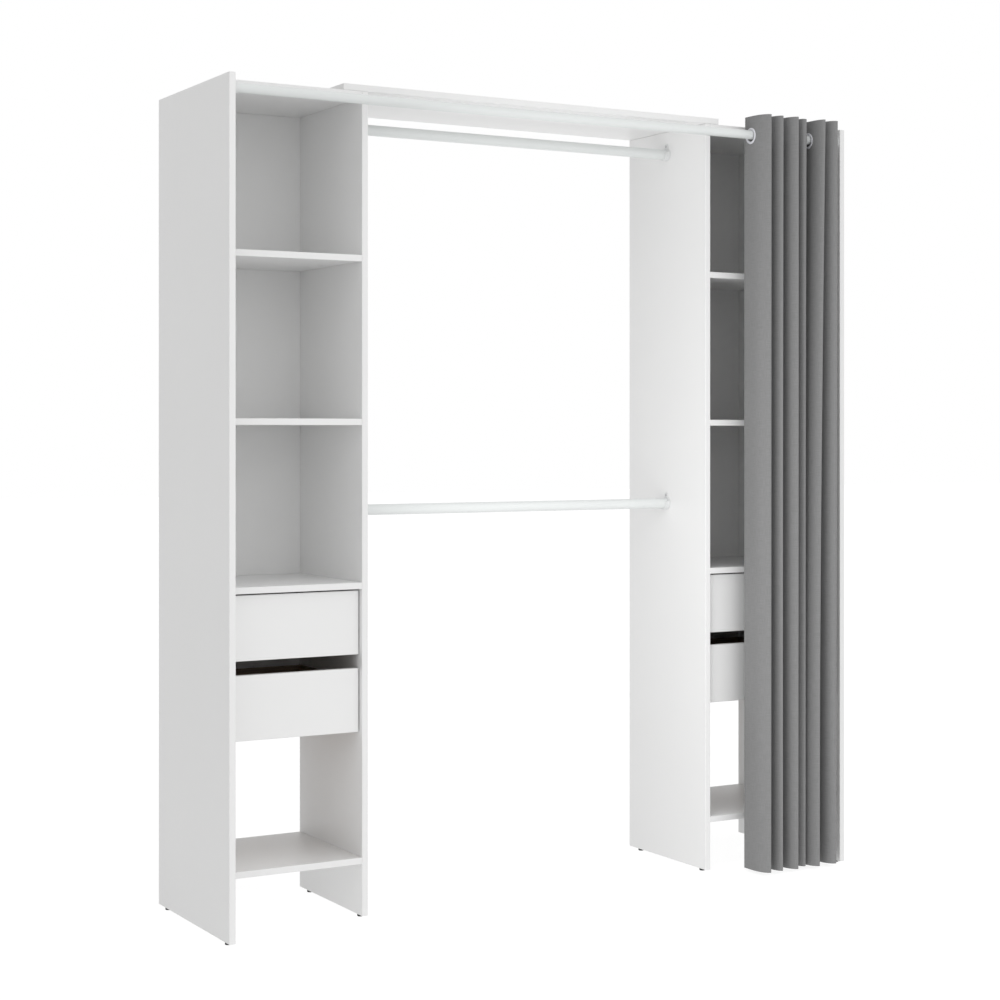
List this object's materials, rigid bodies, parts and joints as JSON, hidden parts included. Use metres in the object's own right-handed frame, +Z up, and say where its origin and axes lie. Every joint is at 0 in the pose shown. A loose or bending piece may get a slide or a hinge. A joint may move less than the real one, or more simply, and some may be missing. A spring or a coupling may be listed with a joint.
{
  "type": "open wardrobe",
  "caption": "Open wardrobe of white board: shelf columns with drawers on both sides, hanging rods between them and a grey eyelet curtain that draws across the front.",
  "frame": {"origin": "on the floor, at the bottom centre of the whole unit's box, curtain included", "axes": "+Z up, +Y from the open front towards the back, +X to the right of someone who stands in front"},
  "size_m": [1.832, 0.5068, 2.0565],
  "materials": {
    "melamine": "particle board faced and edged with matt white melamine",
    "hardboard": "thin hardboard with a white painted face",
    "drawer_front": "particle board faced and edged with white melamine",
    "drawer_surround": "folded particle board under brown foil",
    "drawer_bottom": "bare brown hardboard",
    "runner": "grey moulded plastic",
    "rod": "steel tube with white satin lacquer",
    "rod_fitting": "white moulded plastic",
    "curtain": "grey woven cloth, unlined",
    "curtain_ring": "pale smooth plastic"
  },
  "bodies": {
    "cabinet": {"bridge_board": "melamine", "left_outer_side": "melamine", "left_inner_side": "melamine", "left_top_panel": "melamine", "left_upper_shelf": "melamine", "left_middle_shelf": "melamine", "left_drawer_shelf": "melamine", "left_bottom_shelf": "melamine", "left_back_panel": "hardboard", "right_outer_side": "melamine", "right_inner_side": "melamine", "right_top_panel": "melamine", "right_upper_shelf": "melamine", "right_middle_shelf": "melamine", "right_drawer_shelf": "melamine", "right_bottom_shelf": "melamine", "right_back_panel": "hardboard", "left_upper_drawer_runner_outer": "runner", "left_upper_drawer_runner_inner": "runner", "left_lower_drawer_runner_outer": "runner", "left_lower_drawer_runner_inner": "runner", "right_upper_drawer_runner_outer": "runner", "right_upper_drawer_runner_inner": "runner", "right_lower_drawer_runner_outer": "runner", "right_lower_drawer_runner_inner": "runner", "upper_hanging_rod": "rod", "upper_rod_cradle_left": "rod_fitting", "upper_rod_cradle_right": "rod_fitting", "lower_hanging_rod": "rod", "lower_rod_cradle_left": "rod_fitting", "lower_rod_cradle_right": "rod_fitting", "curtain_rod": "rod", "curtain_rod_socket_left": "rod_fitting", "curtain_rod_socket_right": "rod_fitting"},
    "left_upper_drawer": {"left_upper_drawer_front": "drawer_front", "left_upper_drawer_surround": "drawer_surround", "left_upper_drawer_bottom": "drawer_bottom"},
    "left_lower_drawer": {"left_lower_drawer_front": "drawer_front", "left_lower_drawer_surround": "drawer_surround", "left_lower_drawer_bottom": "drawer_bottom"},
    "right_upper_drawer": {"right_upper_drawer_front": "drawer_front", "right_upper_drawer_surround": "drawer_surround", "right_upper_drawer_bottom": "drawer_bottom"},
    "right_lower_drawer": {"right_lower_drawer_front": "drawer_front", "right_lower_drawer_surround": "drawer_surround", "right_lower_drawer_bottom": "drawer_bottom"},
    "curtain_trail": {"curtain": "curtain", "curtain_ring_12": "curtain_ring"},
    "curtain_lead": {"curtain_ring_01": "curtain_ring"},
    "ring_02": {"curtain_ring_02": "curtain_ring"},
    "ring_03": {"curtain_ring_03": "curtain_ring"},
    "ring_04": {"curtain_ring_04": "curtain_ring"},
    "ring_05": {"curtain_ring_05": "curtain_ring"},
    "ring_06": {"curtain_ring_06": "curtain_ring"},
    "ring_07": {"curtain_ring_07": "curtain_ring"},
    "ring_08": {"curtain_ring_08": "curtain_ring"},
    "ring_09": {"curtain_ring_09": "curtain_ring"},
    "ring_10": {"curtain_ring_10": "curtain_ring"},
    "ring_11": {"curtain_ring_11": "curtain_ring"}
  },
  "joints": [
    {"name": "left_upper_drawer_slide", "type": "slide", "parent": "cabinet", "child": "left_upper_drawer", "axis": [0, -1, 0], "range_m": [0, 0.26]},
    {"name": "left_lower_drawer_slide", "type": "slide", "parent": "cabinet", "child": "left_lower_drawer", "axis": [0, -1, 0], "range_m": [0, 0.26]},
    {"name": "right_upper_drawer_slide", "type": "slide", "parent": "cabinet", "child": "right_upper_drawer", "axis": [0, -1, 0], "range_m": [0, 0.26]},
    {"name": "right_lower_drawer_slide", "type": "slide", "parent": "cabinet", "child": "right_lower_drawer", "axis": [0, -1, 0], "range_m": [0, 0.26]},
    {"name": "curtain_slide", "type": "slide", "parent": "cabinet", "child": "curtain_trail", "axis": [-1, 0, 0], "range_m": [0, 0.4]},
    {"name": "curtain_draw", "type": "slide", "parent": "curtain_trail", "child": "curtain_lead", "axis": [1, 0, 0], "range_m": [-1.09, 0], "deforming": ["curtain"]},
    {"name": "ring_02_follow", "type": "slide", "parent": "curtain_trail", "child": "ring_02", "axis": [1, 0, 0], "range_m": [-1.0654, 0]},
    {"name": "ring_03_follow", "type": "slide", "parent": "curtain_trail", "child": "ring_03", "axis": [1, 0, 0], "range_m": [-0.9824, 0]},
    {"name": "ring_04_follow", "type": "slide", "parent": "curtain_trail", "child": "ring_04", "axis": [1, 0, 0], "range_m": [-0.8916, 0]},
    {"name": "ring_05_follow", "type": "slide", "parent": "curtain_trail", "child": "ring_05", "axis": [1, 0, 0], "range_m": [-0.7592, 0]},
    {"name": "ring_06_follow", "type": "slide", "parent": "curtain_trail", "child": "ring_06", "axis": [1, 0, 0], "range_m": [-0.618, 0]},
    {"name": "ring_07_follow", "type": "slide", "parent": "curtain_trail", "child": "ring_07", "axis": [1, 0, 0], "range_m": [-0.4532, 0]},
    {"name": "ring_08_follow", "type": "slide", "parent": "curtain_trail", "child": "ring_08", "axis": [1, 0, 0], "range_m": [-0.2845, 0]},
    {"name": "ring_09_follow", "type": "slide", "parent": "curtain_trail", "child": "ring_09", "axis": [1, 0, 0], "range_m": [-0.1552, 0]},
    {"name": "ring_10_follow", "type": "slide", "parent": "curtain_trail", "child": "ring_10", "axis": [1, 0, 0], "range_m": [-0.0744, 0]},
    {"name": "ring_11_follow", "type": "slide", "parent": "curtain_trail", "child": "ring_11", "axis": [1, 0, 0], "range_m": [-0.0289, 0]}
  ],
  "couplings": [
    {"joint": "ring_02_follow", "follows": "curtain_draw", "ratio": 0.9774},
    {"joint": "ring_03_follow", "follows": "curtain_draw", "ratio": 0.9012},
    {"joint": "ring_04_follow", "follows": "curtain_draw", "ratio": 0.8179},
    {"joint": "ring_05_follow", "follows": "curtain_draw", "ratio": 0.6965},
    {"joint": "ring_06_follow", "follows": "curtain_draw", "ratio": 0.5669},
    {"joint": "ring_07_follow", "follows": "curtain_draw", "ratio": 0.4157},
    {"joint": "ring_08_follow", "follows": "curtain_draw", "ratio": 0.261},
    {"joint": "ring_09_follow", "follows": "curtain_draw", "ratio": 0.1423},
    {"joint": "ring_10_follow", "follows": "curtain_draw", "ratio": 0.0682},
    {"joint": "ring_11_follow", "follows": "curtain_draw", "ratio": 0.0265}
  ]
}
